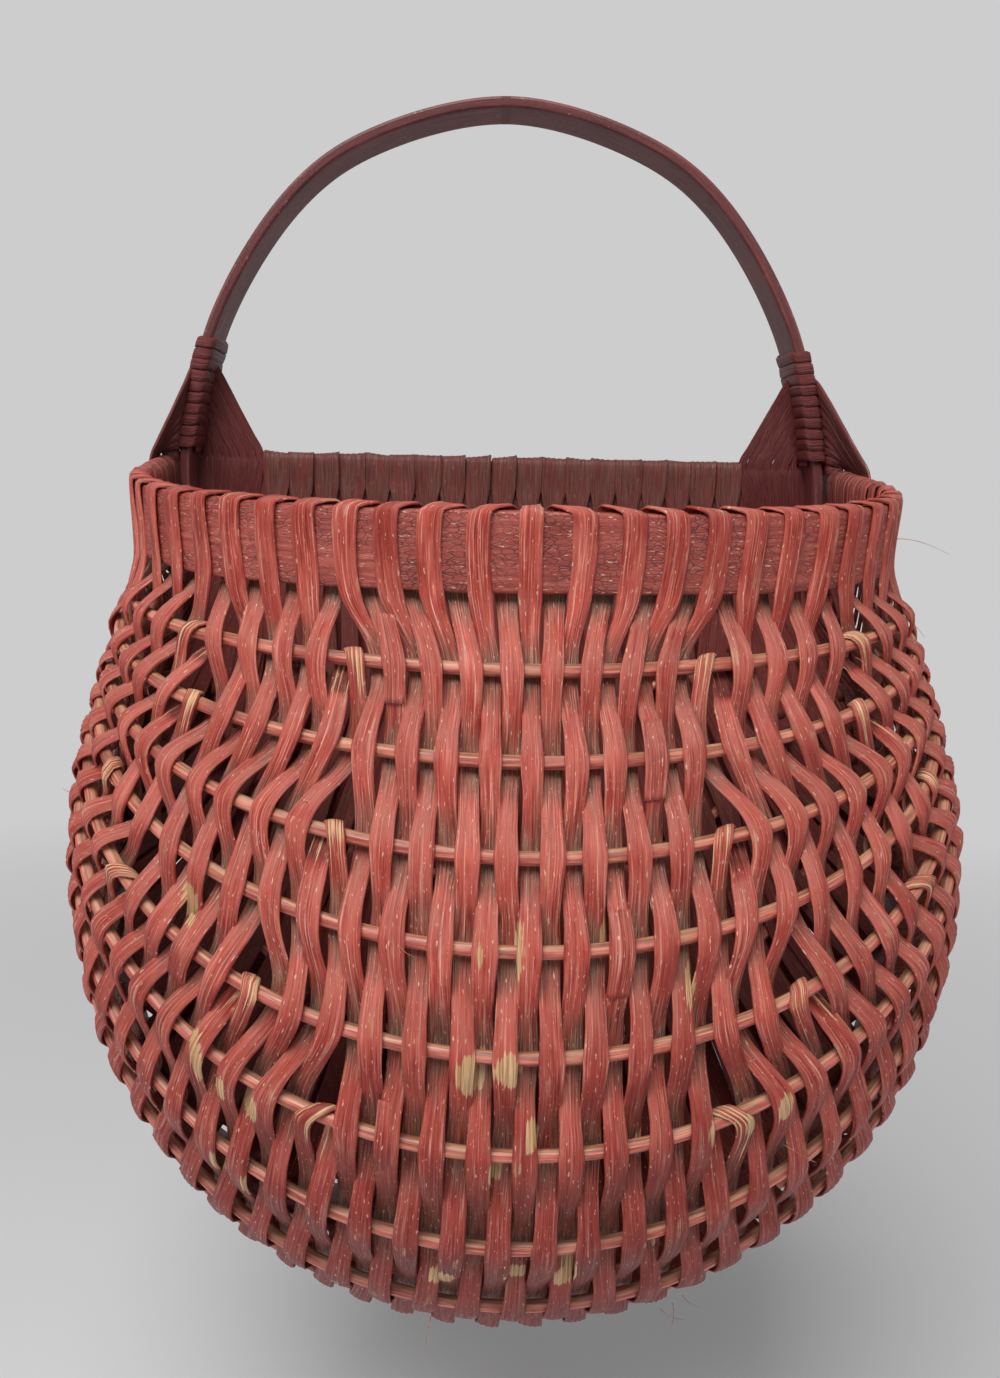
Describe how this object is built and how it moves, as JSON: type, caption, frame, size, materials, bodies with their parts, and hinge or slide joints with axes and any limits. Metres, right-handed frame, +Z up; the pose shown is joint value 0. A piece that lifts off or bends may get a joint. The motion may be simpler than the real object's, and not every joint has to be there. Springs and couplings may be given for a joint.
{
  "type": "splint wall basket",
  "caption": "Half-round hanging basket of painted wood splints woven over round ribs, with a flat bent hoop handle, a D-shaped rim and lashed ears.",
  "frame": {"origin": "middle of the underside of the handle's crown, where the peg carries the basket", "axes": "+Z up, +X to the right seen from the front, +Y into the wall"},
  "size_m": [0.3325, 0.1929, 0.4603],
  "materials": {
    "handle_wood": "worn paint",
    "rim_wood": "worn crackled paint",
    "rib_wood": "worn paint, tan on top",
    "splint": "faded streaked paint",
    "ear_splint": "worn paint"
  },
  "bodies": {
    "root": {"handle_hoop": "handle_wood", "front_rim": "rim_wood", "back_bar": "handle_wood", "front_rib_1": "rib_wood", "front_rib_2": "rib_wood", "front_rib_3": "rib_wood", "front_rib_4": "rib_wood", "front_rib_5": "rib_wood", "front_rib_6": "rib_wood", "front_rib_7": "rib_wood", "front_rib_8": "rib_wood", "front_rib_9": "rib_wood", "front_rib_10": "rib_wood", "back_rib_1": "rib_wood", "back_rib_2": "rib_wood", "back_rib_3": "rib_wood", "weaver_01": "splint", "weaver_02": "splint", "weaver_03": "splint", "weaver_04": "splint", "weaver_05": "splint", "weaver_06": "splint", "weaver_07": "splint", "weaver_08": "splint", "weaver_09": "splint", "weaver_10": "splint", "weaver_11": "splint", "weaver_12": "splint", "weaver_13": "splint", "weaver_14": "splint", "weaver_15": "splint", "weaver_16": "splint", "weaver_17": "splint", "weaver_18": "splint", "weaver_19": "splint", "weaver_20": "splint", "weaver_21": "splint", "weaver_22": "splint", "weaver_23": "splint", "weaver_24": "splint", "weaver_25": "splint", "weaver_26": "splint", "weaver_27": "splint", "weaver_28": "splint", "weaver_29": "splint", "packing_left_1": "splint", "packing_right_1": "splint", "packing_left_2": "splint", "packing_right_2": "splint", "left_ear_lashing": "ear_splint", "left_upper_back_gusset": "ear_splint", "left_upper_side_gusset": "ear_splint", "left_lower_side_gusset": "splint", "left_lower_back_gusset": "splint", "right_ear_lashing": "ear_splint", "right_upper_back_gusset": "ear_splint", "right_upper_side_gusset": "ear_splint", "right_lower_side_gusset": "splint", "right_lower_back_gusset": "splint"}
  },
  "joints": []
}
